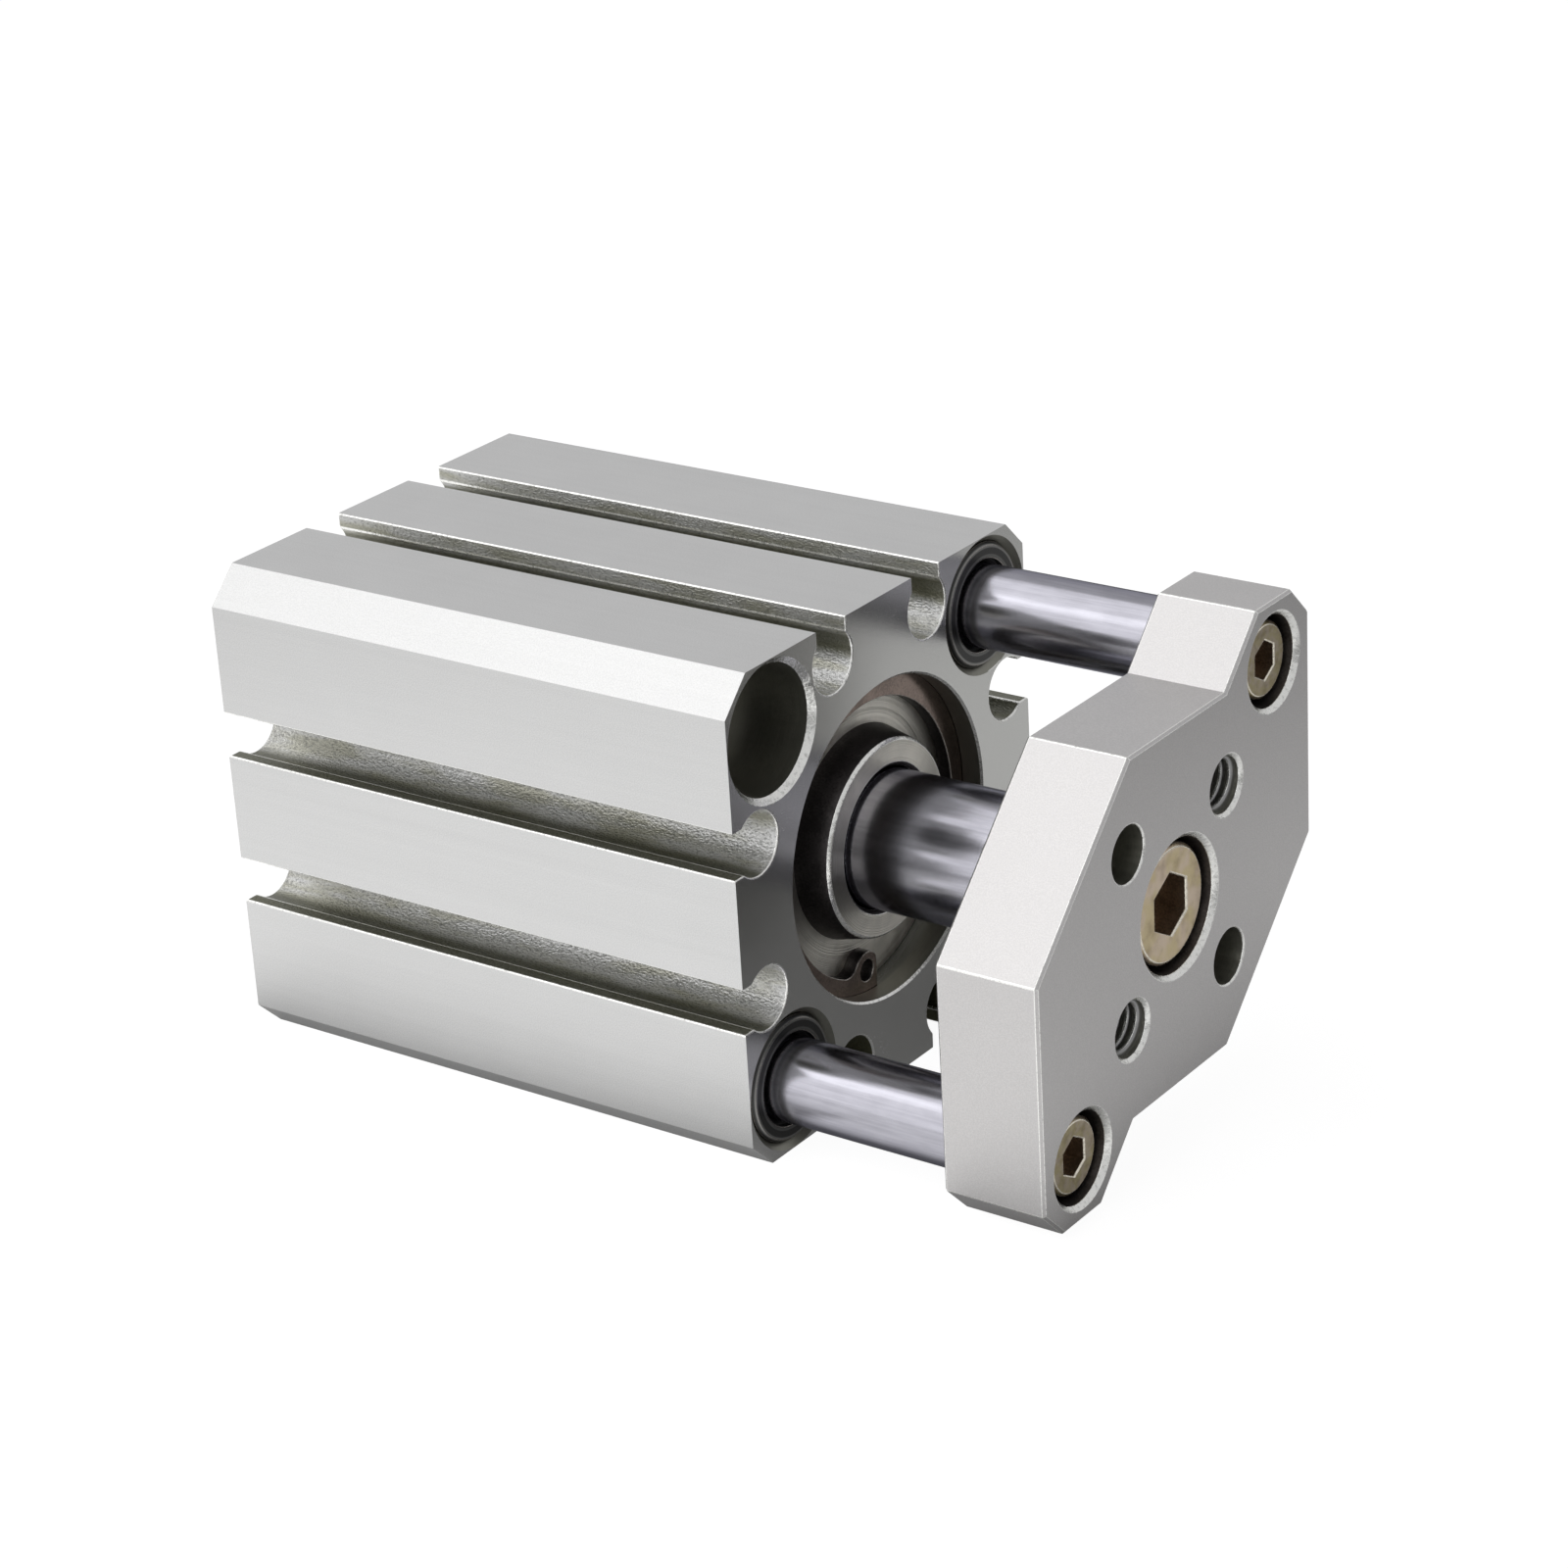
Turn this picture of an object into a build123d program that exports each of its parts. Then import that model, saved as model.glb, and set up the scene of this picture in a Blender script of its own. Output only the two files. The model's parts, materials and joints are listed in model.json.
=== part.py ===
from build123d import *
from math import asin, cos, hypot, radians, sin
import os

# Guided pneumatic cylinder: a square body with a piston, a piston rod and two guide rods
# that carry one end plate. All sizes are in millimetres.
# +X is the stroke direction and +Z is up. The origin lies on the cylinder axis,
# at the rear mounting face of the body.

# Square body: the corner holes leave a thin rim at the sides
corner_pitch = 25.8
corner_rim = 0.5
mounting_corner_chamfer = 2.5
guide_corner_chamfer = 2.1

# Sensor slots, two on each side of the body
slot_pitch = 11.4
slot_mouth = 3.3
slot_round = 4.6
slot_depth = 5.0

# Cylinder bore and its stepped ends
bore_diameter = 20.0
rear_seat_step = 0.8
rear_seat_depth = 4.4
front_seat_step = 1.65
front_seat_depth = 10.6
bore_mouth_chamfer = 0.15
rear_mouth_chamfer = 0.3

# Retaining ring and its groove
ring_thickness = 1.1
ring_depth = 1.7
ring_groove_step = 0.75
ring_wide = 2.65
ring_narrow = 1.85
ring_opening_angle = 46.0
ring_turn_angle = 22.5
lug_radius = 1.4
lug_inset = 2.25
lug_root_radius = 1.3
lug_hole_diameter = 1.6

# Corner holes: two for the guide rods, two for mounting screws
bush_wall = 1.5
corner_mouth_chamfer = 0.45
guide_relief_length = 13.0
guide_relief_gap = 0.5
mount_hole_diameter = 5.5
mount_head_depth = 7.0

# Air ports on the +Y side
port_diameter = 5.0
port_depth = 5.5
port_chamfer = 0.35
rear_port_x = 7.0
front_port_back = 2.8
passage_diameter = 2.0

# Stroke, and how far out the rods stand at rest
stroke = 15.0
rest_travel = 7.4
stop_clearance = 0.2

# Fits
seat_gap = 0.05
running_gap = 0.05
bore_gap = 0.15
thread_gap = 0.05
edge_break = 0.2

# Bottom plate that closes the rear of the bore
cover_recess = 0.4
nose_gap = 0.9
cover_nose = 2.0

# Collar that closes the front of the bore
collar_nose = 3.0
boss_root_diameter = 15.5
boss_top_diameter = 14.4
boss_below_face = 0.2
boss_mouth_chamfer = 0.3
rod_guide_length = 5.0
rod_guide_wall = 1.1
rod_seal_thickness = 3.2
rod_seal_wall = 1.9
rod_seal_notch = 0.95
rod_seal_step = 1.2

# Static O-rings, squeezed flat between the groove and the bore
o_ring_section = 1.1
o_ring_shoulder = 0.3
o_ring_side_room = 0.15

# Piston rod
rod_diameter = 10.0
rod_stub_diameter = 5.0
rod_chamfer = 0.3

# Piston, seal, magnet and bumpers
piston_length = 4.5
piston_seal_width = 2.3
piston_seal_wall = 2.25
piston_seal_notch = 1.1
piston_rear_land = 1.2
magnet_thickness = 2.3
magnet_wall = 2.0
magnet_rim_gap = 0.45
magnet_flange = 1.6
bumper_inner_diameter = 11.4
bumper_wall = 1.6
bumper_seat = 1.0
bumper_proud = 0.6
stub_inset = 0.3
nut_across_flats = 7.6
nut_thickness = 2.0
nut_recess_room = 0.4

# Guide rods and their bushes
guide_diameter = 6.0
guide_end_room = 7.0
guide_chamfer = 0.5
bush_length = 14.0
bush_chamfer = 0.25
bush_below_face = 0.1
wiper_lip = 0.4
wiper_thickness = 1.5
wiper_wall = 0.9
wiper_chamfer = 0.22
wiper_mouth_gap = 0.38

# End plate
plate_gap = 8.0
plate_thickness = 7.8
ear_side = 4.85
ear_top = 4.4
ear_inner = 2.1
plate_corner = 2.3
plate_waist = 13.0
flank_top = 5.9
flank_side = 1.5
tool_hole_pitch = 12.7
tool_hole_diameter = 4.0
tool_thread_chamfer = 0.25
dowel_chamfer = 0.1

# Socket head screws: one large in the piston rod, one small in each guide rod
large_screw = 5.0
large_head_diameter = 8.5
large_head_height = 5.0
large_socket = 4.0
large_socket_depth = 2.4
large_screw_length = 16.0
small_screw = 3.0
small_head_diameter = 5.5
small_head_height = 3.0
small_socket = 2.5
small_socket_depth = 1.5
small_screw_length = 12.0
head_chamfer = 0.25
head_recess = 0.7
head_side_room = 0.5
head_mouth_chamfer = 0.35
screw_hole_room = 0.2
tapped_hole_room = 1.0

# Places along the stroke axis. The body is as long as the piston stack, its stroke and the two
# end covers need, and at rest the piston has moved by rest_travel.
cover_front = rear_seat_depth + cover_nose
bumper_rear_x = cover_front + stop_clearance + rest_travel
piston_rear = bumper_rear_x + bumper_proud
piston_front = piston_rear + piston_length
magnet_front = piston_front + magnet_thickness
holder_front = magnet_front + magnet_flange
bumper_front_x = holder_front + bumper_proud
collar_rear = bumper_front_x - rest_travel + stroke + stop_clearance
front_seat_x = collar_rear + collar_nose
body_front = front_seat_x + front_seat_depth
ring_front = body_front - ring_depth
ring_rear = ring_front - ring_thickness
collar_face = ring_rear
boss_top = body_front - boss_below_face
plate_rear = body_front + plate_gap + rest_travel
plate_front = plate_rear + plate_thickness

# Radii and places across the stroke axis
bore_radius = bore_diameter / 2
rear_seat_radius = bore_radius + rear_seat_step
front_seat_radius = bore_radius + front_seat_step
groove_radius = front_seat_radius + ring_groove_step
nose_radius = bore_radius - nose_gap
rod_radius = rod_diameter / 2
guide_radius = guide_diameter / 2
bush_bore_radius = guide_radius + running_gap
bush_outer_radius = bush_bore_radius + bush_wall
corner_bore_radius = bush_outer_radius + seat_gap
corner_offset = corner_pitch / 2
body_half = corner_offset + corner_bore_radius + corner_rim
guide_length = body_front + plate_gap - guide_end_room
guide_places = {"upper": (corner_offset, corner_offset), "lower": (-corner_offset, -corner_offset)}

os.makedirs("parts", exist_ok=True)


def write_part(builder, name):
    builder.part.label = name
    export_step(builder.part, f"parts/{name}.step")


def turned(points):
    """Revolve a closed outline of (x, radius) points about the stroke axis."""
    with BuildPart() as piece:
        with BuildSketch(Plane.XY):
            with BuildLine():
                Polyline(*points, close=True)
            make_face()
        revolve(axis=Axis.X)
    return piece


def corner_hole_mouths(builder, end):
    """The round edges of the corner holes at the rear end (0) or the front end (-1)."""
    round_edges = builder.edges().filter_by(GeomType.CIRCLE).group_by(Axis.X)[end]
    return round_edges.filter_by(lambda edge: abs(abs(edge.arc_center.Y) - corner_offset) < seat_gap)


# Square body with slots, stepped bore, corner holes and ports
slot_axis = body_half - slot_depth + slot_round / 2
slot_reach = body_half - slot_axis
port_plane = Plane(origin=(0, body_half, 0), x_dir=(1, 0, 0), z_dir=(0, 1, 0))
with BuildPart() as cylinder_body:
    with BuildSketch(Plane.YZ) as body_section:
        Rectangle(2 * body_half, 2 * body_half)
        guide_corners = body_section.vertices().filter_by(lambda corner: corner.X * corner.Y > 0)
        chamfer(guide_corners, guide_corner_chamfer)
        other_corners = body_section.vertices().group_by(lambda corner: abs(corner.X) + abs(corner.Y))[-1]
        chamfer(other_corners, mounting_corner_chamfer)
        with PolarLocations(slot_axis, 4):
            with Locations((0, slot_pitch / 2), (0, -slot_pitch / 2)):
                Circle(slot_round / 2, mode=Mode.SUBTRACT)
            with Locations((slot_reach / 2, slot_pitch / 2), (slot_reach / 2, -slot_pitch / 2)):
                Rectangle(slot_reach, slot_mouth, mode=Mode.SUBTRACT)
    extrude(amount=body_front)
    with BuildSketch(Plane.XY):
        with BuildLine():
            Polyline(
                (0, 0),
                (0, rear_seat_radius + rear_mouth_chamfer),
                (rear_mouth_chamfer, rear_seat_radius),
                (rear_seat_depth, rear_seat_radius),
                (rear_seat_depth, bore_radius),
                (front_seat_x, bore_radius),
                (front_seat_x, front_seat_radius),
                (ring_rear, front_seat_radius),
                (ring_rear, groove_radius),
                (ring_front + seat_gap, groove_radius),
                (ring_front + seat_gap, front_seat_radius),
                (body_front - bore_mouth_chamfer, front_seat_radius),
                (body_front, front_seat_radius + bore_mouth_chamfer),
                (body_front, 0),
                close=True,
            )
        make_face()
    revolve(axis=Axis.X, mode=Mode.SUBTRACT)
    with Locations(Plane.YZ.offset(body_front)):
        with Locations(*guide_places.values()):
            CounterBoreHole(
                guide_radius + guide_relief_gap,
                corner_bore_radius,
                body_front - guide_relief_length,
            )
        with Locations((-corner_offset, corner_offset), (corner_offset, -corner_offset)):
            CounterBoreHole(mount_hole_diameter / 2, corner_bore_radius, mount_head_depth)
    chamfer(corner_hole_mouths(cylinder_body, -1), corner_mouth_chamfer)
    chamfer(corner_hole_mouths(cylinder_body, 0), edge_break)
    with Locations(port_plane):
        with Locations((rear_port_x, 0), (front_seat_x - front_port_back, 0)):
            CounterSinkHole(port_diameter / 2, port_diameter / 2 + port_chamfer, port_depth, 90)
        with Locations((rear_seat_depth + passage_diameter / 2 + seat_gap, 0)):
            Hole(passage_diameter / 2, body_half - nose_radius)
        with Locations((front_seat_x - passage_diameter / 2 - seat_gap, 0)):
            Hole(passage_diameter / 2, body_half - nose_radius)
write_part(cylinder_body, "cylinder_body")

# Bottom plate: a plug in the rear seat, with a nose that leaves an air space at the port
cover_radius = rear_seat_radius - seat_gap
o_ring_room = o_ring_section + o_ring_side_room
cover_middle = (cover_recess + rear_seat_depth) / 2
cover_groove_radius = rear_seat_radius - 2 * seat_gap - o_ring_section
bottom_plate = turned(
    [
        (cover_recess, 0),
        (cover_recess, cover_radius - edge_break),
        (cover_recess + edge_break, cover_radius),
        (cover_middle - o_ring_room / 2, cover_radius),
        (cover_middle - o_ring_room / 2, cover_groove_radius),
        (cover_middle + o_ring_room / 2, cover_groove_radius),
        (cover_middle + o_ring_room / 2, cover_radius),
        (rear_seat_depth, cover_radius),
        (rear_seat_depth, nose_radius),
        (cover_front - edge_break, nose_radius),
        (cover_front, nose_radius - edge_break),
        (cover_front, 0),
    ]
)
write_part(bottom_plate, "bottom_plate")


def o_ring(name, x, seat_radius):
    """An O-ring squeezed square with broken corners, which just clears the bore that it seals."""
    outer_radius = seat_radius - seat_gap
    inner_radius = outer_radius - o_ring_section
    rear = x - o_ring_section / 2
    front = x + o_ring_section / 2
    ring = turned(
        [
            (rear, inner_radius + o_ring_shoulder),
            (rear, outer_radius - o_ring_shoulder),
            (rear + o_ring_shoulder, outer_radius),
            (front - o_ring_shoulder, outer_radius),
            (front, outer_radius - o_ring_shoulder),
            (front, inner_radius + o_ring_shoulder),
            (front - o_ring_shoulder, inner_radius),
            (rear + o_ring_shoulder, inner_radius),
        ]
    )
    write_part(ring, name)


o_ring("bottom_plate_o_ring", cover_middle, rear_seat_radius)

# Collar: seat, O-ring groove, tapered boss, bush seat and rod seal groove
collar_radius = front_seat_radius - seat_gap
collar_middle = (front_seat_x + collar_face) / 2
collar_groove_radius = front_seat_radius - 2 * seat_gap - o_ring_section
collar_bore_radius = rod_radius + bore_gap
bush_seat_radius = rod_radius + running_gap + rod_guide_wall + seat_gap
bush_seat_end = collar_rear + rod_guide_length
seal_groove_rear = bush_seat_end + rod_seal_step
seal_groove_front = seal_groove_rear + rod_seal_thickness + 2 * seat_gap
seal_groove_radius = rod_radius + running_gap + rod_seal_wall + seat_gap
boss_root_radius = boss_root_diameter / 2
boss_top_radius = boss_top_diameter / 2
collar = turned(
    [
        (collar_rear, bush_seat_radius),
        (collar_rear, nose_radius),
        (front_seat_x, nose_radius),
        (front_seat_x, collar_radius),
        (collar_middle - o_ring_room / 2, collar_radius),
        (collar_middle - o_ring_room / 2, collar_groove_radius),
        (collar_middle + o_ring_room / 2, collar_groove_radius),
        (collar_middle + o_ring_room / 2, collar_radius),
        (collar_face, collar_radius),
        (collar_face, boss_root_radius),
        (boss_top - edge_break, boss_top_radius),
        (boss_top, boss_top_radius - edge_break),
        (boss_top, collar_bore_radius + boss_mouth_chamfer),
        (boss_top - boss_mouth_chamfer, collar_bore_radius),
        (seal_groove_front, collar_bore_radius),
        (seal_groove_front, seal_groove_radius),
        (seal_groove_rear, seal_groove_radius),
        (seal_groove_rear, collar_bore_radius),
        (bush_seat_end, collar_bore_radius),
        (bush_seat_end, bush_seat_radius),
    ]
)
write_part(collar, "collar")
o_ring("collar_o_ring", collar_middle, front_seat_radius)


def sleeve(name, rear, front, inner_radius, outer_radius, chamfer_size):
    """A plain sleeve with broken outer edges."""
    piece = turned(
        [
            (rear, inner_radius),
            (rear, outer_radius - chamfer_size),
            (rear + chamfer_size, outer_radius),
            (front - chamfer_size, outer_radius),
            (front, outer_radius - chamfer_size),
            (front, inner_radius),
        ]
    )
    write_part(piece, name)


def lip_seal(name, rear, front, inner_radius, outer_radius, notch):
    """A ring with a V notch between two lips, which opens towards its rear side."""
    middle_radius = (inner_radius + outer_radius) / 2
    piece = turned(
        [
            (rear, inner_radius),
            (rear, middle_radius - notch / 2),
            (rear + notch, middle_radius),
            (rear, middle_radius + notch / 2),
            (rear, outer_radius),
            (front, outer_radius),
            (front, inner_radius),
        ]
    )
    write_part(piece, name)


sleeve(
    "rod_bush",
    collar_rear + seat_gap,
    bush_seat_end - seat_gap,
    rod_radius + running_gap,
    bush_seat_radius - seat_gap,
    edge_break,
)
lip_seal(
    "rod_seal",
    seal_groove_rear + seat_gap,
    seal_groove_front - seat_gap,
    rod_radius + running_gap,
    seal_groove_radius - seat_gap,
    rod_seal_notch,
)

# Retaining ring: it narrows towards its opening, which lies between two drilled lugs. The sketch has
# the opening at its lowest point, in a plane that is turned about the stroke axis.
ring_outer_radius = groove_radius - seat_gap
ring_inner_radius = ring_outer_radius - (ring_wide + ring_narrow) / 2
ring_inner_drop = (ring_wide - ring_narrow) / 2
opening_reach = 2 * ring_outer_radius
opening_y = opening_reach * sin(radians(ring_opening_angle / 2))
opening_z = -opening_reach * cos(radians(ring_opening_angle / 2))
lug_centre_radius = ring_outer_radius - lug_inset
lug_angle = radians(ring_opening_angle / 2) + asin((lug_radius - edge_break) / lug_centre_radius)
lug_y = lug_centre_radius * sin(lug_angle)
lug_z = -lug_centre_radius * cos(lug_angle)
across = (0, cos(radians(ring_turn_angle)), sin(radians(ring_turn_angle)))
ring_plane = Plane(origin=(ring_rear, 0, 0), x_dir=across, z_dir=(1, 0, 0))
with BuildPart() as retaining_ring:
    with BuildSketch(ring_plane) as ring_outline:
        Circle(ring_outer_radius)
        with Locations((0, -ring_inner_drop)):
            Circle(ring_inner_radius, mode=Mode.SUBTRACT)
        with Locations((-lug_y, lug_z), (lug_y, lug_z)):
            Circle(lug_radius)
        with BuildLine():
            Polyline((0, 0), (opening_y, opening_z), (-opening_y, opening_z), close=True)
        make_face(mode=Mode.SUBTRACT)
        lug_roots = ring_outline.vertices().filter_by(
            lambda end: abs(end.X) > lug_y and hypot(end.X, end.Y) < ring_outer_radius - seat_gap
        )
        fillet(lug_roots, lug_root_radius)
        with Locations((-lug_y, lug_z), (lug_y, lug_z)):
            Circle(lug_hole_diameter / 2, mode=Mode.SUBTRACT)
    extrude(amount=ring_thickness)
write_part(retaining_ring, "retaining_ring")

# Guide bushes and wipers, in the corner bores that carry the guide rods
bush_front = body_front - bush_below_face
wiper_front = bush_front - wiper_lip
wiper_rear = wiper_front - wiper_thickness
wiper_outer_radius = bush_bore_radius + wiper_wall
front_bush_rear = bush_front - bush_length
rear_bush_rear = guide_relief_length + seat_gap
for place, (guide_y, guide_z) in guide_places.items():
    guide_axis = Axis((0, guide_y, guide_z), (1, 0, 0))
    guide_plane = Plane.XY.offset(guide_z)
    with BuildPart() as guide_bush:
        with BuildSketch(guide_plane):
            with BuildLine():
                Polyline(
                    (front_bush_rear, guide_y + bush_bore_radius),
                    (front_bush_rear, guide_y + bush_outer_radius - bush_chamfer),
                    (front_bush_rear + bush_chamfer, guide_y + bush_outer_radius),
                    (bush_front - bush_chamfer, guide_y + bush_outer_radius),
                    (bush_front, guide_y + bush_outer_radius - bush_chamfer),
                    (bush_front, guide_y + guide_radius + wiper_mouth_gap),
                    (wiper_front, guide_y + guide_radius + wiper_mouth_gap),
                    (wiper_front, guide_y + wiper_outer_radius + seat_gap),
                    (wiper_rear, guide_y + wiper_outer_radius + seat_gap),
                    (wiper_rear, guide_y + bush_bore_radius),
                    close=True,
                )
            make_face()
        revolve(axis=guide_axis)
    write_part(guide_bush, f"guide_bush_front_{place}")
    with BuildPart() as wiper:
        with BuildSketch(Plane.YZ.offset(wiper_rear + seat_gap)):
            with Locations((guide_y, guide_z)):
                Circle(wiper_outer_radius)
                Circle(bush_bore_radius, mode=Mode.SUBTRACT)
        extrude(amount=wiper_thickness - 2 * seat_gap)
        chamfer(wiper.edges().group_by(Axis.X)[-1].sort_by(SortBy.RADIUS)[0], wiper_chamfer)
    write_part(wiper, f"wiper_{place}")
    with BuildPart() as rear_bush:
        with BuildSketch(Plane.YZ.offset(rear_bush_rear)):
            with Locations((guide_y, guide_z)):
                Circle(bush_outer_radius)
                Circle(bush_bore_radius, mode=Mode.SUBTRACT)
        extrude(amount=bush_length)
        rear_bush_ends = rear_bush.edges().filter_by(GeomType.CIRCLE).group_by(Axis.X)
        chamfer(rear_bush_ends[0], bush_chamfer)
        chamfer(rear_bush.edges().filter_by(GeomType.CIRCLE).group_by(Axis.X)[-1], bush_chamfer)
    write_part(rear_bush, f"guide_bush_rear_{place}")

# Piston rod: a shaft with a stub through the piston and a tapped front end
stub_radius = rod_stub_diameter / 2
stub_rear = piston_rear + stub_inset
rod_tap_depth = large_screw_length - plate_thickness + head_recess + large_head_height + tapped_hole_room
with BuildPart() as piston_rod:
    with BuildSketch(Plane.YZ.offset(holder_front)):
        Circle(rod_radius)
    extrude(amount=plate_rear - holder_front)
    chamfer(piston_rod.edges().group_by(Axis.X)[-1], rod_chamfer)
    with BuildSketch(Plane.YZ.offset(stub_rear)):
        Circle(stub_radius)
    extrude(amount=holder_front - stub_rear)
    with Locations(Plane.YZ.offset(plate_rear)):
        Hole(large_screw / 2, rod_tap_depth)
write_part(piston_rod, "piston_rod")

# Piston: a disc with a seal groove, a nut recess and a seat for the rear bumper
piston_radius = bore_radius - bore_gap
seal_rear = piston_rear + piston_rear_land
seal_front = seal_rear + piston_seal_width + 2 * seat_gap
seal_inner_radius = bore_radius - running_gap - piston_seal_wall
stub_hole_radius = stub_radius + seat_gap
nut_corner_radius = nut_across_flats / 3**0.5
nut_recess_radius = nut_corner_radius + nut_recess_room / 2
nut_front = stub_rear + nut_thickness
bumper_inner_radius = bumper_inner_diameter / 2
bumper_outer_radius = bumper_inner_radius + bumper_wall
piston = turned(
    [
        (nut_front, stub_hole_radius),
        (nut_front, nut_recess_radius),
        (piston_rear, nut_recess_radius),
        (piston_rear, bumper_inner_radius - seat_gap),
        (piston_rear + bumper_seat, bumper_inner_radius - seat_gap),
        (piston_rear + bumper_seat, bumper_outer_radius + seat_gap),
        (piston_rear, bumper_outer_radius + seat_gap),
        (piston_rear, piston_radius - edge_break),
        (piston_rear + edge_break, piston_radius),
        (seal_rear, piston_radius),
        (seal_rear, seal_inner_radius - seat_gap),
        (seal_front, seal_inner_radius - seat_gap),
        (seal_front, piston_radius),
        (piston_front, piston_radius),
        (piston_front, stub_hole_radius),
    ]
)
write_part(piston, "piston")
lip_seal(
    "piston_seal",
    seal_rear + seat_gap,
    seal_front - seat_gap,
    seal_inner_radius,
    bore_radius - running_gap,
    piston_seal_notch,
)

# Magnet holder: a hub that carries the ring magnet, and a flange for the front bumper
magnet_outer_radius = bore_radius - magnet_rim_gap
magnet_inner_radius = magnet_outer_radius - magnet_wall
magnet_holder = turned(
    [
        (piston_front, stub_hole_radius),
        (piston_front, magnet_inner_radius - seat_gap),
        (magnet_front, magnet_inner_radius - seat_gap),
        (magnet_front, piston_radius),
        (holder_front - edge_break, piston_radius),
        (holder_front, piston_radius - edge_break),
        (holder_front, bumper_outer_radius + seat_gap),
        (holder_front - bumper_seat, bumper_outer_radius + seat_gap),
        (holder_front - bumper_seat, bumper_inner_radius - seat_gap),
        (holder_front, bumper_inner_radius - seat_gap),
        (holder_front, stub_hole_radius),
    ]
)
write_part(magnet_holder, "magnet_holder")
sleeve(
    "magnet",
    piston_front + seat_gap,
    magnet_front - seat_gap,
    magnet_inner_radius,
    magnet_outer_radius,
    edge_break,
)
sleeve(
    "bumper_rear",
    bumper_rear_x,
    piston_rear + bumper_seat,
    bumper_inner_radius,
    bumper_outer_radius,
    edge_break,
)
sleeve(
    "bumper_front",
    holder_front - bumper_seat,
    bumper_front_x,
    bumper_inner_radius,
    bumper_outer_radius,
    edge_break,
)

# Hexagon nut on the stub, sunk in the piston
with BuildPart() as piston_nut:
    with BuildSketch(Plane.YZ.offset(stub_rear)):
        RegularPolygon(nut_corner_radius, 6)
        Circle(stub_radius + thread_gap, mode=Mode.SUBTRACT)
    extrude(amount=nut_thickness)
write_part(piston_nut, "piston_nut")

# Guide rods, tapped at the plate end
guide_tap_depth = small_screw_length - plate_thickness + head_recess + small_head_height + tapped_hole_room
for place, (guide_y, guide_z) in guide_places.items():
    with BuildPart() as guide_rod:
        with BuildSketch(Plane.YZ.offset(plate_rear - guide_length)):
            with Locations((guide_y, guide_z)):
                Circle(guide_radius)
        extrude(amount=guide_length)
        chamfer(guide_rod.edges().group_by(Axis.X)[0], guide_chamfer)
        chamfer(guide_rod.edges().group_by(Axis.X)[-1], edge_break)
        with Locations(Plane.YZ.offset(plate_rear)):
            with Locations((guide_y, guide_z)):
                Hole(small_screw / 2, guide_tap_depth)
    write_part(guide_rod, f"guide_rod_{place}")

# End plate: two square ears over the guide rods, joined by a slanting web
plate_half_width = corner_offset + ear_side
plate_half_height = corner_offset + ear_top
ear_inner_edge = corner_offset - ear_inner
ear_step_start = ear_inner_edge - (plate_half_height - plate_waist)
half_outline = [
    (-flank_top, plate_waist),
    (ear_step_start, plate_waist),
    (ear_inner_edge, plate_half_height),
    (plate_half_width - plate_corner, plate_half_height),
    (plate_half_width, plate_half_height - plate_corner),
    (plate_half_width, -flank_side),
]
other_half = [(-y, -z) for y, z in half_outline]
large_seat_depth = large_head_height + head_recess
small_seat_depth = small_head_height + head_recess
tool_offset = tool_hole_pitch / 2
with BuildPart() as end_plate:
    with BuildSketch(Plane.YZ.offset(plate_rear)):
        with BuildLine():
            Polyline(*half_outline, *other_half, close=True)
        make_face()
    extrude(amount=plate_thickness)
    chamfer(end_plate.faces().sort_by(Axis.X)[-1].edges(), edge_break)
    chamfer(end_plate.faces().sort_by(Axis.X)[0].edges(), edge_break)
    with Locations(Plane.YZ.offset(plate_front)):
        with Locations((0, 0)):
            CounterBoreHole(
                large_screw / 2 + screw_hole_room,
                large_head_diameter / 2 + head_side_room,
                large_seat_depth,
            )
        with Locations(*guide_places.values()):
            CounterBoreHole(
                small_screw / 2 + screw_hole_room,
                small_head_diameter / 2 + head_side_room,
                small_seat_depth,
            )
        with GridLocations(tool_hole_pitch, tool_hole_pitch, 2, 2):
            Hole(tool_hole_diameter / 2)
    plate_mouths = end_plate.edges().filter_by(GeomType.CIRCLE).group_by(Axis.X)[-1]
    tool_mouths = plate_mouths.filter_by(lambda edge: abs(abs(edge.arc_center.Y) - tool_offset) < seat_gap)
    thread_mouths = tool_mouths.filter_by(lambda edge: edge.arc_center.Y * edge.arc_center.Z > 0)
    dowel_mouths = tool_mouths.filter_by(lambda edge: edge.arc_center.Y * edge.arc_center.Z < 0)
    chamfer(plate_mouths - tool_mouths, head_mouth_chamfer)
    chamfer(thread_mouths, tool_thread_chamfer)
    chamfer(dowel_mouths, dowel_chamfer)
    rear_holes = end_plate.edges().filter_by(GeomType.CIRCLE).group_by(Axis.X)[0]
    chamfer(rear_holes.filter_by(lambda edge: edge.radius < rod_radius), dowel_chamfer)
write_part(end_plate, "end_plate")


def socket_screw(places, thread, head_diameter, head_height, socket, socket_depth, length):
    """Socket head screws that enter the end plate from its front."""
    head_rear = plate_front - head_recess - head_height
    with BuildPart() as screw:
        with BuildSketch(Plane.YZ.offset(head_rear)):
            with Locations(*places):
                Circle(head_diameter / 2)
        extrude(amount=head_height)
        chamfer(screw.edges().group_by(Axis.X)[-1], head_chamfer)
        with BuildSketch(Plane.YZ.offset(head_rear + head_height)):
            with Locations(*places):
                RegularPolygon(socket / 3**0.5, 6, rotation=30)
        extrude(amount=-socket_depth, mode=Mode.SUBTRACT)
        with BuildSketch(Plane.YZ.offset(head_rear - length)):
            with Locations(*places):
                Circle(thread / 2 - thread_gap)
        extrude(amount=length)
        chamfer(screw.edges().group_by(Axis.X)[0], edge_break)
    return screw


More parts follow.
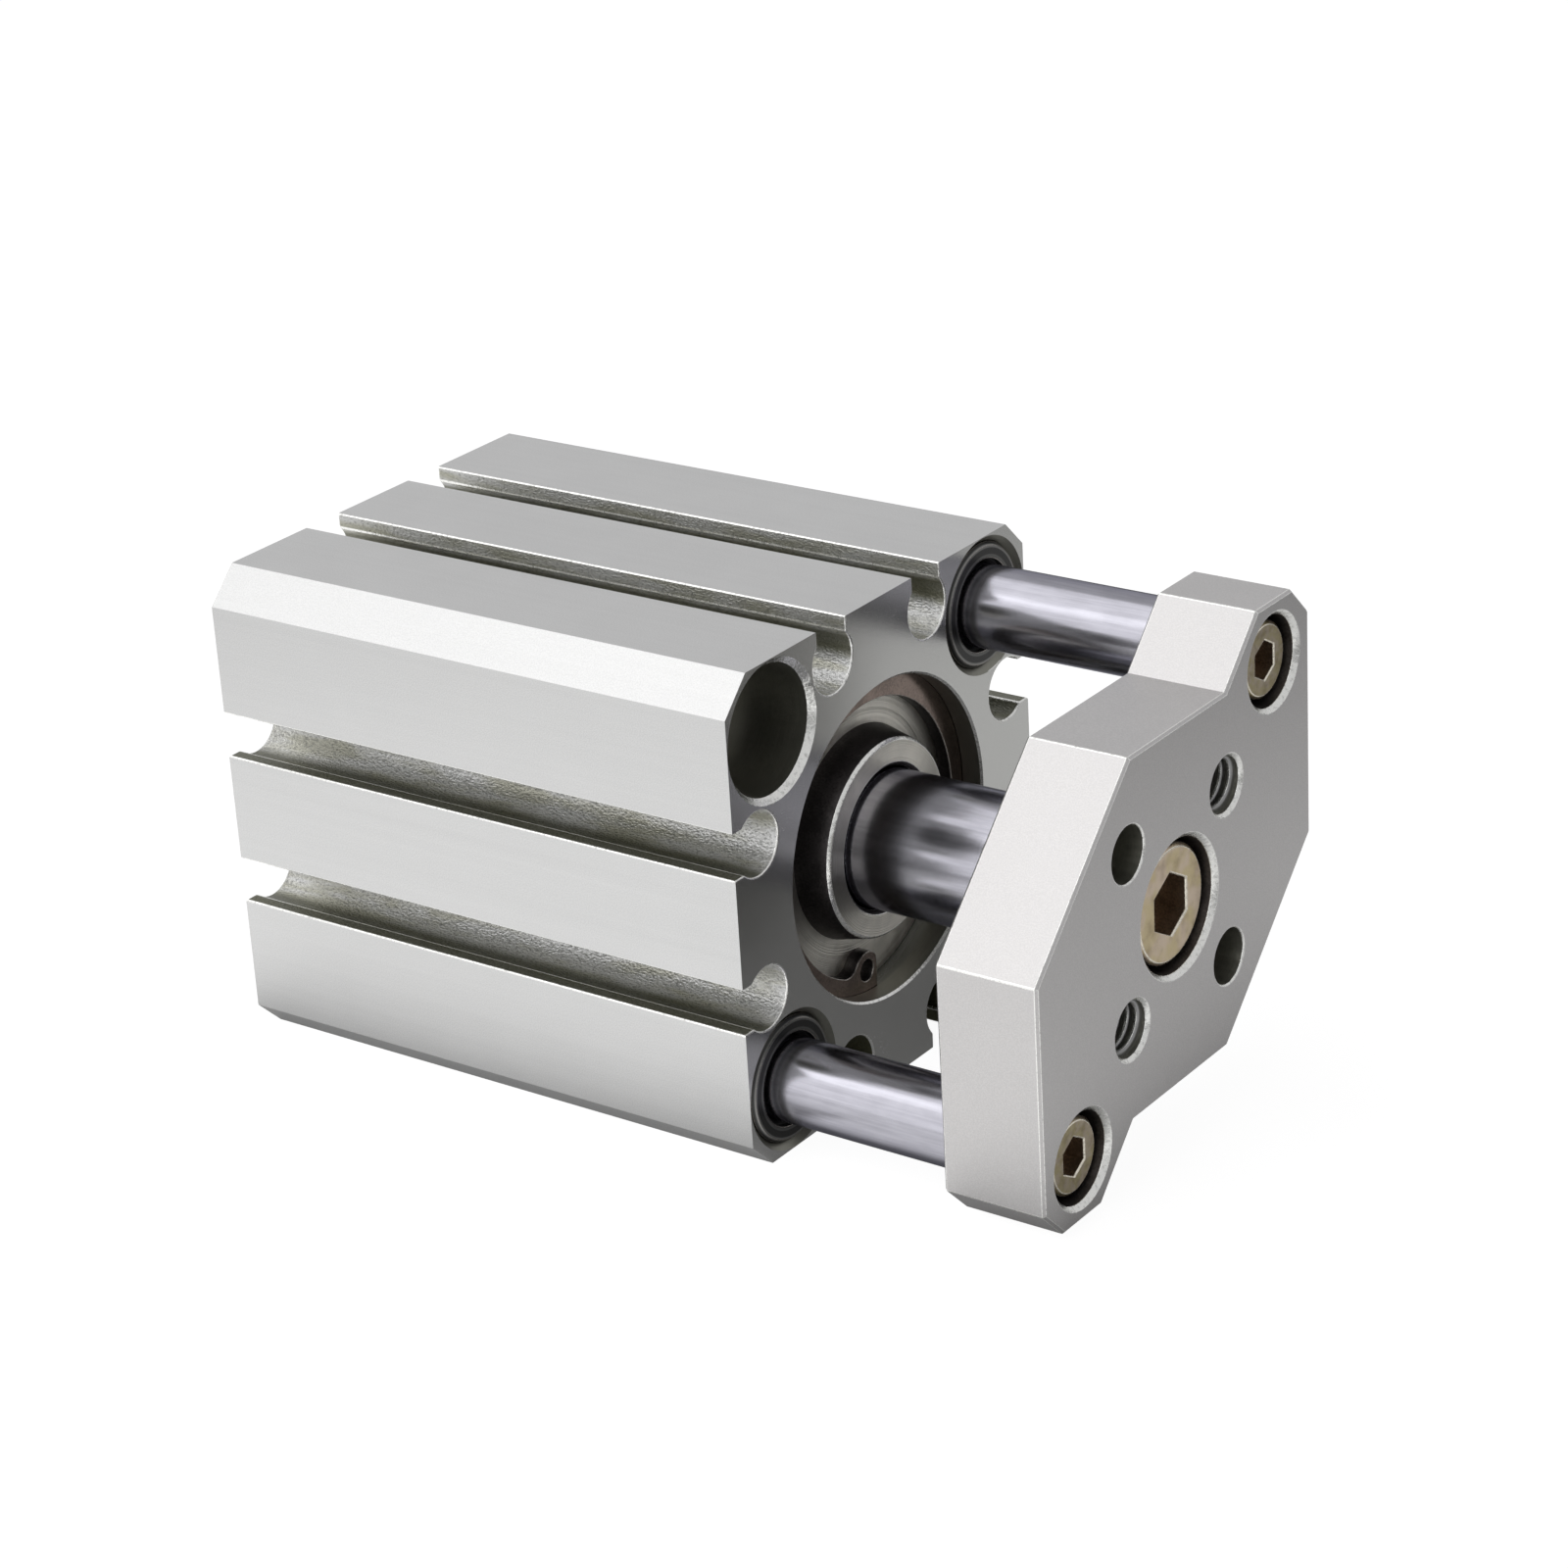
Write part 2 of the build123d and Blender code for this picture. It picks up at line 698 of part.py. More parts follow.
centre_screw = socket_screw(
    [(0, 0)],
    large_screw,
    large_head_diameter,
    large_head_height,
    large_socket,
    large_socket_depth,
    large_screw_length,
)
write_part(centre_screw, "centre_screw")
guide_screws = socket_screw(
    guide_places.values(),
    small_screw,
    small_head_diameter,
    small_head_height,
    small_socket,
    small_socket_depth,
    small_screw_length,
)
write_part(guide_screws, "guide_screws")
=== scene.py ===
import json
import math

import bmesh
import bpy
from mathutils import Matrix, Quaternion, Vector


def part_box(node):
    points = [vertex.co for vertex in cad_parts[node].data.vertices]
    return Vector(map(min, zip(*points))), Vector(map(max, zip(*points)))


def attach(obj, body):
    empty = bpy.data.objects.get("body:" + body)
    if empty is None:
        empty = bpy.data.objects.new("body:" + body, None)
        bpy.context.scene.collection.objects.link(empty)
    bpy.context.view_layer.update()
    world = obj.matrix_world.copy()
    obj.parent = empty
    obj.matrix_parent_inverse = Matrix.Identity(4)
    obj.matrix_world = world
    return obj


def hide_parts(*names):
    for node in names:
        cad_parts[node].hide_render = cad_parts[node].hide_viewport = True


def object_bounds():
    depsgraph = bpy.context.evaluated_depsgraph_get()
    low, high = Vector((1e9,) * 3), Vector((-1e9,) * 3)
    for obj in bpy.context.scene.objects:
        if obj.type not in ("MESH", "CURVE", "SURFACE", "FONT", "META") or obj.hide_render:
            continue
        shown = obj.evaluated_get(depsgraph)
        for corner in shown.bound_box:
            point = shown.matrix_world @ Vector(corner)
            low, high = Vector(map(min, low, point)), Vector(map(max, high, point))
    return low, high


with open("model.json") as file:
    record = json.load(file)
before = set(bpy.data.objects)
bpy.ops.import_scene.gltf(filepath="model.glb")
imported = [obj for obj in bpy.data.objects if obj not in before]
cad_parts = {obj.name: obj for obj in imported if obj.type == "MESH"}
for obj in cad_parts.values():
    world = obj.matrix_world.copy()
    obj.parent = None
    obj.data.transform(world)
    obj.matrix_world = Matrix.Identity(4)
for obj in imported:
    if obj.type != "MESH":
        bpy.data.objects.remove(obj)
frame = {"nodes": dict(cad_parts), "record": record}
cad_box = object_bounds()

# The looks of a guided pneumatic cylinder: camera, studio, finishes, broken edges and threads.
# Everything is in metres, in the frame of the CAD: +X is the stroke direction and +Z is up.
MM = 0.001
cad_nodes = frame["nodes"]
mounts = {mount["name"]: mount for mount in frame["record"]["mounts"]}

# Sizes and places from the frame
body_low, body_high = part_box("cylinder_body")
plate_low, plate_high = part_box("end_plate")
guide_low, guide_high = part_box("guide_rod_upper")
ring_low, ring_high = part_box("retaining_ring")
centre_screw_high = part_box("centre_screw")[1]
piston_rod_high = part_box("piston_rod")[1]
corner = (guide_low.y + guide_high.y) / 2
corner_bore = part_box("guide_bush_front_upper")[1].y - corner
tool_offset = mounts["tool_holes"]["dims"]["spacing_x_mm"] / 2 * MM
tool_radius = mounts["tool_holes"]["dims"]["hole_r_mm"] * MM
port_radius = mounts["rear_port"]["dims"]["r_mm"] * MM

# Axes along X, as (y, z)
centre_axes = [(0, 0)]
guide_axes = [(corner, corner), (-corner, -corner)]
mounting_axes = [(corner, -corner), (-corner, corner)]
tool_axes = [(y, z) for y in (-tool_offset, tool_offset) for z in (-tool_offset, tool_offset)]

# Sizes that no box or mount gives. A reach is how far from the axis of a hole its faces lie
slot_offset = 5.7 * MM
slot_reach = 2.4 * MM
guide_counterbore_reach = 3.7 * MM
centre_socket_reach = 2.5 * MM
guide_socket_reach = 1.6 * MM
socket_depth = 3 * MM
tool_pitch = 0.7 * MM
port_pitch = 0.8 * MM
port_thread_depths = (0.1 * MM, 5.3 * MM)

# Two faces are in one plane below the first angle and meet at a sharp edge from the second on
FLAT = math.radians(1)
SHARP = math.radians(30)


def placed(name, data):
    """A new object in the scene."""
    made = bpy.data.objects.new(name, data)
    bpy.context.scene.collection.objects.link(made)
    return made


# Camera, at the viewpoint of the photograph
def set_camera():
    view_point = Vector((0.199311, -0.218424, 0.120067))
    aim_point = Vector((0.034946, 0.001451, 0.001519))
    roll = math.radians(-3.485)
    data = bpy.data.cameras.new("camera")
    data.sensor_width = 36
    data.lens = 96.878
    data.clip_start = 0.01
    camera = placed("camera", data)
    camera.location = view_point
    camera.rotation_mode = "QUATERNION"
    upright = (aim_point - view_point).to_track_quat("-Z", "Y")
    camera.rotation_quaternion = upright @ Quaternion((0, 0, 1), roll)
    bpy.context.scene.camera = camera


# Shader nodes
class Socket:
    """An output of a node. Python's operators on it add Math nodes."""

    def __init__(self, nodes, output):
        self.nodes = nodes
        self.output = output

    def maths(self, operation, first, second):
        sockets = {0: first, 1: second}
        return self.nodes.node("ShaderNodeMath", {"operation": operation}, sockets)

    def __add__(self, other):
        return self.maths("ADD", self, other)

    def __radd__(self, other):
        return self.maths("ADD", other, self)

    def __sub__(self, other):
        return self.maths("SUBTRACT", self, other)

    def __rsub__(self, other):
        return self.maths("SUBTRACT", other, self)

    def __mul__(self, other):
        return self.maths("MULTIPLY", self, other)

    def __rmul__(self, other):
        return self.maths("MULTIPLY", other, self)

    def __truediv__(self, other):
        return self.maths("DIVIDE", self, other)

    def __pow__(self, other):
        return self.maths("POWER", self, other)

    def larger(self, other):
        """The larger of two values."""
        return self.maths("MAXIMUM", self, other)

    def between(self, low, high):
        """0 below low and 1 above high, with a smooth rise between them."""
        limits = {"Value": self, "From Min": low, "From Max": high}
        smooth = {"interpolation_type": "SMOOTHSTEP"}
        return self.nodes.node("ShaderNodeMapRange", smooth, limits)

    def band(self, rise, fall):
        """1 from the end of rise to the start of fall and 0 outside them."""
        return self.between(*rise) * (1 - self.between(*fall))


class Nodes:
    """A node tree in the making."""

    def __init__(self, tree):
        self.tree = tree

    def node(self, kind, settings=None, sockets=None, output=0):
        """Add a node: first its settings, then the values or links of its sockets."""
        made = self.tree.nodes.new(kind)
        for name, value in (settings or {}).items():
            setattr(made, name, value)
        self.fill(made, sockets or {})
        return Socket(self, made.outputs[output]) if made.outputs else None

    def fill(self, made, sockets):
        """Link the sockets that get a Socket and set the others."""
        for name, value in sockets.items():
            if isinstance(value, Socket):
                self.tree.links.new(value.output, made.inputs[name])
            else:
                made.inputs[name].default_value = value

    def mix(self, factor, first, second):
        """A colour between first and second."""
        sockets = {0: factor, 6: first, 7: second}
        return self.node("ShaderNodeMix", {"data_type": "RGBA"}, sockets, 2)

    def vector(self, operation, first, second=(0.0, 0.0, 0.0), output=0):
        sockets = {0: first, 1: second}
        return self.node("ShaderNodeVectorMath", {"operation": operation}, sockets, output)

    def part(self, place, axis):
        """One coordinate of a place."""
        return self.node("ShaderNodeSeparateXYZ", None, {"Vector": place}, axis)

    def ray(self, kind):
        """1 for the rays of a kind, such as Camera or Glossy."""
        return self.node("ShaderNodeLightPath", output=f"Is {kind} Ray")


class Finish(Nodes):
    """A material in the making, around one surface shader."""

    def __init__(self, name, **steady):
        self.material = bpy.data.materials.new(name)
        self.material.use_nodes = True
        super().__init__(self.material.node_tree)
        self.surface = self.tree.nodes["Principled BSDF"]
        self.place = self.node("ShaderNodeTexCoord", output="Object")
        self.paint(**steady)

    def paint(self, **sockets):
        """Set or link sockets of the surface shader, such as Base_Color."""
        self.fill(self.surface, {name.replace("_", " "): value for name, value in sockets.items()})

    def noise(self, place, detail):
        """Noise from 0 to 1 with blotches about one unit of the place wide."""
        sockets = {"Vector": place, "Scale": 1.0, "Detail": detail}
        return self.node("ShaderNodeTexNoise", None, sockets)

    def grain(self, size, detail=2.0):
        """Noise with blotches about as large as size, a number or one along each axis."""
        spacing = size if isinstance(size, tuple) else (size, size, size)
        return self.noise(self.vector("DIVIDE", self.place, spacing), detail)

    def relief(self, height, depth, strength=1.0):
        """Feed the surface's Normal with a bump as deep as depth."""
        sockets = {"Height": height, "Distance": depth, "Strength": strength}
        self.paint(Normal=self.node("ShaderNodeBump", None, sockets))


def hypotenuse(first, second):
    """The long side of a right triangle, for Sockets."""
    return (first * first + second * second) ** 0.5


def shade_of(color, factor):
    """The colour made darker or paler by a factor, with alpha."""
    return (*(min(1.0, factor * value) for value in color), 1)


def tinted(color, red, green, blue):
    """The colour with a factor for each channel, with alpha."""
    return (red * color[0], green * color[1], blue * color[2], 1)


# Finishes
def blasted_aluminium(name, color, streaks, roughness=0.30):
    """Bead-blasted and clear-anodised aluminium. Streaks along X are left by the extrusion die."""
    finish = Finish(name, Metallic=0.85, IOR=1.45)
    beads = finish.grain(0.09 * MM, 3.0)
    clouds = finish.grain(4 * MM, 3.0)
    lines = finish.grain((60 * MM, 0.5 * MM, 0.5 * MM))
    tone = 0.90 + 0.12 * beads.between(0.3, 0.7) + 0.05 * clouds + streaks * lines
    pale = shade_of(color, 1.04)
    finish.paint(Base_Color=finish.mix(tone.between(0.9, 1.12), shade_of(color, 0.86), pale))
    finish.paint(Roughness=roughness + 0.14 * beads + 0.06 * clouds)
    finish.relief(beads, 0.012 * MM, 0.35)
    return finish.material


def slot_aluminium(name, color):
    """The rough floor of the sensor slots, where the die leaves pits and the oxide is yellowish."""
    finish = Finish(name, Metallic=0.85, IOR=1.45)
    pits = finish.grain((0.25 * MM, 0.15 * MM, 0.15 * MM), 4.0)
    tint = finish.grain((6 * MM, 1.2 * MM, 1.2 * MM), 3.0)
    olive = tinted(color, 0.81, 0.80, 0.69)
    clean = finish.mix(tint.between(0.40, 0.66), shade_of(color, 1.1), olive)
    pitted = finish.mix(0.5 * pits.between(0.50, 0.68), clean, shade_of(color, 0.25))
    # Painted shade darkens the lips of the mouth, most in the slots of the sides, the undercut
    # behind them and the slots of the underside, where shade falls
    outward = finish.vector("ABSOLUTE", finish.place)
    aside = finish.part(outward, "Y")
    aloft = finish.part(outward, "Z")
    depth = body_high.y - aside.larger(aloft)
    lip_end = (1.3 * MM, 1.7 * MM)
    undercut_end = (2.6 * MM, 3.8 * MM)
    undercut = depth.band(lip_end, undercut_end)
    on_left_or_right = (aside - aloft).between(0.0, 1 * MM)
    lip = (1 - depth.between(*lip_end)) * (0.25 + 0.75 * on_left_or_right)
    underside = (0.0 - finish.part(finish.place, "Z")).between(10 * MM, 11 * MM)
    painted_slot_darkening = 0.85 * undercut + 0.9 * lip + underside
    finish.paint(Base_Color=finish.mix(painted_slot_darkening, pitted, tinted(color, 0.15, 0.15, 0.09)))
    finish.paint(Roughness=0.22 + 0.3 * pits)
    finish.relief(pits, 0.10 * MM, 0.9)
    return finish.material


def bored_aluminium(name, color):
    """Walls of drilled and bored holes, with fine rings left by the tool."""
    finish = Finish(name, Metallic=0.8)
    rings = finish.grain((0.08 * MM, 3 * MM, 3 * MM))
    finish.paint(Base_Color=finish.mix(rings, shade_of(color, 0.75), (*color, 1)))
    finish.paint(Roughness=0.30 + 0.15 * rings)
    finish.relief(rings, 0.006 * MM, 0.4)
    return finish.material


def cut_edge(name, color):
    """Edges broken after cutting: bright metal with a few dull nicks."""
    finish = Finish(name, Metallic=0.8)
    nicks = finish.grain(0.25 * MM, 3.0)
    dull = shade_of(color, 0.65)
    finish.paint(Base_Color=finish.mix(nicks.between(0.5, 0.75), (*color, 1), dull))
    finish.paint(Roughness=0.16 + 0.2 * nicks)
    finish.relief(nicks, 0.04 * MM, 0.8)
    return finish.material


def turned_metal(name, color, roughness):
    """Turned on a lathe: fine rings about the stroke axis. A painted sheen makes them bright above
    and below it: the faces beside the axis are painted darker.
    """
    finish = Finish(name, Metallic=0.75)
    along = finish.part(finish.place, "X")
    apart = finish.part(finish.place, "Y")
    above = finish.part(finish.place, "Z")
    radius = hypotenuse(apart, above)
    ring_width = 0.07 * MM
    turn = {"X": radius / ring_width, "Y": along / ring_width}
    rings = finish.noise(finish.node("ShaderNodeCombineXYZ", None, turn), 2.0)
    blotches = finish.grain(1.5 * MM, 3.0)
    dull = shade_of(color, 0.8)
    shine = finish.mix((rings + blotches).between(0.75, 1.2), dull, (*color, 1))
    # Painted shade beside the axis, standing in for the sheen of the turned rings
    beside = (apart * apart / (radius * radius)).between(0.25, 0.95)
    finish.paint(Base_Color=finish.mix(0.8 * beside, shine, shade_of(color, 0.25)))
    finish.paint(Roughness=roughness + 0.12 * rings + 0.1 * blotches.between(0.4, 0.7))
    finish.relief(rings, 0.04 * MM, 1.0)
    return finish.material


def ground_chrome(name, color):
    """Hard chrome, ground across the rod and polished."""
    finish = Finish(name, Metallic=1.0, Specular_Tint=(0.5, 0.5, 0.55, 1))
    scratches = finish.grain((0.05 * MM, 2.5 * MM, 2.5 * MM), 3.0)
    haze = finish.grain((2.5 * MM, 0.8 * MM, 0.8 * MM), 3.0)
    lines = finish.grain((8 * MM, 0.22 * MM, 0.22 * MM), 2.0)
    tone = (0.6 * haze + 0.6 * lines).between(0.4, 0.8)
    finish.paint(Base_Color=finish.mix(tone, shade_of(color, 0.87), shade_of(color, 1.06)))
    finish.paint(Roughness=0.16 + 0.04 * haze + 0.05 * scratches)
    finish.relief(scratches, 0.003 * MM, 0.5)
    return finish.material


def passivated_steel(name, color, blotch_size):
    """Zinc-plated steel, yellow in places and a little blotchy."""
    finish = Finish(name, Metallic=0.8)
    blotches = finish.grain(blotch_size, 4.0)
    specks = finish.grain(0.12 * MM, 2.0)
    hue = finish.grain(1.4 * blotch_size)
    yellow = tinted(color, 0.92, 0.93, 0.72)
    brown = tinted(color, 0.42, 0.36, 0.28)
    plating = finish.mix(hue.between(0.40, 0.60), (*color, 1), yellow)
    finish.paint(Base_Color=finish.mix(0.6 * blotches.between(0.40, 0.80), plating, brown))
    finish.paint(Roughness=0.24 + 0.25 * specks)
    finish.relief(specks, 0.02 * MM, 0.6)
    return finish.material


def dark_metal(name, color, roughness, metallic=0.6, pore_depth=0.01 * MM):
    """Phosphated or oxidised metal, dark, with oil on it. It also makes a dark metal of painted
    shade for walls and hollows in shadow.
    """
    finish = Finish(name, Metallic=metallic)
    pores = finish.grain(0.15 * MM, 3.0)
    clouds = finish.grain(2 * MM, 2.0)
    tone = (pores + clouds).between(0.8, 1.2)
    finish.paint(Base_Color=finish.mix(tone, shade_of(color, 0.6), (*color, 1)))
    finish.paint(Roughness=roughness + 0.15 * pores)
    finish.relief(pores, pore_depth, 0.4)
    return finish.material


def sintered_bush(name, color):
    """Oil-soaked bearing metal. Its end is faced in steps, and pale rings round the guide rod are
    painted highlights on the edges of the steps.
    """
    finish = Finish(name, Metallic=0.7)
    aside = finish.vector("ABSOLUTE", finish.place)
    radius = hypotenuse(finish.part(aside, "Y") - corner, finish.part(aside, "Z") - corner)
    # Painted highlights: pale rings where the edges of the end catch the light
    outer_glint = radius.band((4.10 * MM, 4.18 * MM), (4.34 * MM, 4.42 * MM))
    inner_glint = radius.band((3.45 * MM, 3.50 * MM), (3.62 * MM, 3.70 * MM))
    pores = finish.grain(0.12 * MM, 3.0)
    dark = finish.mix(pores, shade_of(color, 0.6), (*color, 1))
    pale = shade_of(color, 4.5)
    finish.paint(Base_Color=finish.mix(outer_glint + 0.5 * inner_glint, dark, pale))
    finish.paint(Roughness=0.26 + 0.15 * pores)
    finish.relief(pores, 0.006 * MM, 0.4)
    return finish.material


def moulded_rubber(name, color, roughness):
    """Seals and bumpers: matt, with a fine moulded grain."""
    finish = Finish(name, Metallic=0.0)
    grain = finish.grain(0.1 * MM, 3.0)
    dust = finish.grain(1.2 * MM, 3.0)
    finish.paint(Base_Color=finish.mix(0.5 * dust, (*color, 1), shade_of(color, 1.8)))
    finish.paint(Roughness=roughness + 0.12 * grain)
    finish.relief(grain, 0.01 * MM, 0.4)
    return finish.material


# Pieces that take the place of CAD nodes: the same mesh with its sharp edges broken
def is_anywhere(middle):
    """Every sharp edge is broken."""
    return True


def softened(node, body, finishes, finish_of, edge_width, is_broken=is_anywhere):
    """Put a copy of a node in its place whose sharp edges are broken by bevels.

    finishes names the materials, with the one of the bevels first, and finish_of(centre, normal)
    gives the name for a face. is_broken(middle) tells whether an edge gets a bevel.
    """
    index_of = {name: index for index, name in enumerate(finishes)}
    welded = bmesh.new()
    welded.from_mesh(cad_nodes[node].data)
    bmesh.ops.remove_doubles(welded, verts=welded.verts, dist=1e-7)
    one_plane = math.radians(0.5)
    bmesh.ops.dissolve_limit(
        welded, angle_limit=one_plane, verts=welded.verts, edges=welded.edges
    )
    for face in welded.faces:
        face.material_index = index_of[finish_of(face.calc_center_median(), face.normal)]
        face.smooth = any(FLAT < edge.calc_face_angle(0.0) < SHARP for edge in face.edges)
    share = welded.edges.layers.float.new("bevel_weight_edge")
    for edge in welded.edges:
        if edge.calc_face_angle(0.0) < SHARP:
            continue
        middle = (edge.verts[0].co + edge.verts[1].co) / 2
        if edge.is_convex and is_broken(middle):
            edge[share] = 0.4 if any(is_chamfer(face.normal) for face in edge.link_faces) else 1.0
        else:
            edge.smooth = False
    mesh = bpy.data.meshes.new(f"{node}_finished")
    welded.to_mesh(mesh)
    welded.free()
    for finish in finishes.values():
        mesh.materials.append(finish)
    piece = placed(f"{node}_finished", mesh)
    bevel = piece.modifiers.new("broken edges", "BEVEL")
    bevel.width = edge_width
    bevel.segments = 2
    bevel.limit_method = "WEIGHT"
    bevel.material = 0
    bevel.harden_normals = True
    bevel.use_clamp_overlap = False
    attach(piece, body)
    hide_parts(node)


def is_chamfer(normal):
    """Whether a face leans at about 45 degrees to the stroke axis."""
    return abs(abs(normal.x) - math.sqrt(0.5)) < 0.2


def is_near(centre, axes, radius):
    """Whether a place lies within a radius of one of the axes, which run along X."""
    return any(math.hypot(centre.y - y, centre.z - z) < radius for y, z in axes)


def wall_finish(normal, wall):
    """The finish of a hole's wall, or of the edge where its mouth is broken."""
    return "edge" if abs(normal.x) > 0.3 else wall


def body_finish(centre, normal):
    """The ends are milled and the outside is blasted; holes and slots have their own finish."""
    corner_mouth = corner_bore + 0.5 * MM
    bore_mouth = ring_high.y + 0.2 * MM
    if abs(normal.x) > 0.95:
        return "milled"
    if is_near(centre, guide_axes, corner_mouth):
        return "bored"
    if is_near(centre, mounting_axes, corner_mouth) or is_near(centre, centre_axes, bore_mouth):
        return wall_finish(normal, "bored")
    inside = max(abs(centre.y), abs(centre.z)) < body_high.y - 0.02 * MM
    slanted = abs(abs(normal.y) - abs(normal.z)) < 0.05
    on_long_chamfer = slanted and min(abs(centre.y), abs(centre.z)) > corner
    return "slot" if inside and not on_long_chamfer else "blasted"


def is_at_slot(middle):
    """Whether an edge is at a slot. The rims of the corner holes are too thin for a bevel."""
    outward = max(abs(middle.y), abs(middle.z))
    along = min(abs(middle.y), abs(middle.z))
    return outward > corner - 0.1 * MM and abs(along - slot_offset) < slot_reach


def plate_finish(centre, normal):
    """Blasted outside, with a shaded rear face, counterbores in painted shade and bored tool holes.
    """
    if abs(normal.x) > 0.95:
        return "blasted" if normal.x > 0 else "rear"
    centre_counterbore_reach = centre_screw_high.y + 1.0 * MM
    if is_near(centre, centre_axes, centre_counterbore_reach):
        return wall_finish(normal, "counterbore")
    if is_near(centre, guide_axes, guide_counterbore_reach):
        return wall_finish(normal, "counterbore")
    if is_near(centre, tool_axes, tool_radius + 0.4 * MM):
        return wall_finish(normal, "bored")
    return "blasted"


def collar_finish(centre, normal):
    """Turned behind the ring and on the faces, painted shade on the walls and at the mouth of the
    bore, bright on broken edges.
    """
    if centre.x < ring_low.x - 0.01 * MM or normal.x > 0.95:
        return "turned"
    at_bore = is_near(centre, centre_axes, piston_rod_high.y + 0.4 * MM)
    return "edge" if normal.x > 0.4 and not at_bore else "dark"


def ring_finish(centre, normal):
    """Flat faces as stamped, and walls in painted shade."""
    return "flat" if abs(normal.x) > 0.9 else "wall"


def screw_finish(socket_radius):
    """Plated screws with a dark socket of a radius about the axis nearest to a face."""

    def finish_of(centre, normal):
        if normal.x > 0.9 and centre.x > centre_screw_high.x - 0.1 * MM:
            return "plated"
        at_socket = is_near(centre, centre_axes + guide_axes, socket_radius)
        return "socket" if at_socket and centre.x > centre_screw_high.x - socket_depth else "plated"

    return finish_of


def bush_finish(centre, normal):
    """The same alloy all over."""
    return "alloy"


# Threads in the tapped holes, as helical ridges on their walls
def add_thread(name, place, axis, wall_radius, pitch, depths, body, finishes):
    """A ridge that winds along a hole between two depths, measured along axis from place.

    finishes are the materials of its crest and of its flanks.
    """
    along = Vector(axis)
    across = along.orthogonal().normalized()
    up = along.cross(across)
    crest_radius = wall_radius - 0.54 * pitch
    root_radius = wall_radius + 0.02 * MM
    # Cross-section of the ridge: where along the axis, in pitches, and whether on the crest
    section = [(-0.42, 0), (-0.12, 1), (0.12, 1), (0.42, 0)]
    crest_side = 1
    # The ridge rises from a thin end to its full height over a part of a turn
    thin_end = 0.03
    run_out = 0.6
    steps_per_turn = 40
    start, end = depths
    steps = round((end - start - pitch) / pitch * steps_per_turn)
    bm = bmesh.new()
    rings = []
    for step in range(steps + 1):
        turned = step / steps_per_turn
        to_turn = (steps - step) / steps_per_turn
        height = min(1.0, thin_end + turned / run_out, thin_end + to_turn / run_out)
        angle = 2 * math.pi * turned
        outward = across * math.cos(angle) + up * math.sin(angle)
        ring = []
        for offset, on_crest in section:
            depth = start + pitch * (0.5 + turned + offset * height)
            radius = root_radius - (root_radius - crest_radius) * height * on_crest
            ring.append(bm.verts.new(Vector(place) + along * depth + outward * radius))
        rings.append(ring)
    for first, second in zip(rings, rings[1:]):
        for side in range(len(section)):
            following = (side + 1) % len(section)
            corners = (first[side], first[following], second[following], second[side])
            face = bm.faces.new(corners)
            face.material_index = 0 if side == crest_side else 1
            face.smooth = True
    bm.faces.new(rings[0])
    bm.faces.new(rings[-1])
    bmesh.ops.recalc_face_normals(bm, faces=bm.faces)
    mesh = bpy.data.meshes.new(name)
    bm.to_mesh(mesh)
    bm.free()
    for finish in finishes:
        mesh.materials.append(finish)
    piece = placed(name, mesh)
    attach(piece, body)


# Studio: a pale floor, two soft boxes and a pale surround
def distance_from(paper, place, low, high):
    """How far a place on the floor lies outside the rectangle from low to high."""
    middle = ((low[0] + high[0]) / 2, (low[1] + high[1]) / 2, 0.0)
    half = ((high[0] - low[0]) / 2, (high[1] - low[1]) / 2, 0.0)
    offset = paper.vector("ABSOLUTE", paper.vector("SUBTRACT", place, middle))
    beyond = paper.vector("MAXIMUM", paper.vector("SUBTRACT", offset, half))
    return paper.vector("LENGTH", beyond, output="Value")


def pale_paper():
    """White for the rays that show it, but dark in mirrors where the part stands on it."""
    material = bpy.data.materials.new("pale paper")
    material.use_nodes = True
    material.node_tree.nodes.clear()
    paper = Nodes(material.node_tree)
    place = paper.node("ShaderNodeTexCoord", output="Object")
    # The shadow reaches further on the side away from the lamps
    shadow_low = (cad_box[0].x, body_low.y)
    shadow_high = (cad_box[1].x, body_high.y + 10 * MM)
    shadow = distance_from(paper, place, shadow_low, shadow_high)
    near = 0.12 + 0.88 * shadow.between(-0.002, 0.014)
    # Light falls through beside the rods
    gap_low = (body_high.x + 2 * MM, -36 * MM)
    gap_high = (plate_low.x - 4 * MM, -18 * MM)
    gap = distance_from(paper, place, gap_low, gap_high)
    near = near.larger(1.0 - gap.between(0.0, 0.004))
    # It darkens away from the lamps and far from the part
    away = (paper.part(place, "X") * 0.35 + paper.part(place, "Y") * 0.9).between(-0.02, 0.05)
    far = paper.vector("LENGTH", place, output="Value").between(0.09, 0.20)
    lit = near * (1.05 - 0.48 * away) * (1.0 - 0.8 * far)
    mirrored = paper.ray("Glossy") + paper.ray("Transmission")
    shown = 0.94 * paper.ray("Camera") + mirrored * lit
    matt = paper.node("ShaderNodeBsdfDiffuse", None, {"Color": (0.3, 0.3, 0.3, 1)})
    glow = paper.node("ShaderNodeEmission", None, {"Strength": shown})
    both = paper.node("ShaderNodeAddShader", None, {0: matt, 1: glow})
    paper.node("ShaderNodeOutputMaterial", None, {"Surface": both})
    return material


def set_floor():
    bm = bmesh.new()
    bmesh.ops.create_circle(bm, cap_ends=True, segments=96, radius=6.0)
    mesh = bpy.data.meshes.new("floor")
    bm.to_mesh(mesh)
    bm.free()
    floor = placed("floor", mesh)
    floor.location.z = body_low.z
    mesh.materials.append(pale_paper())


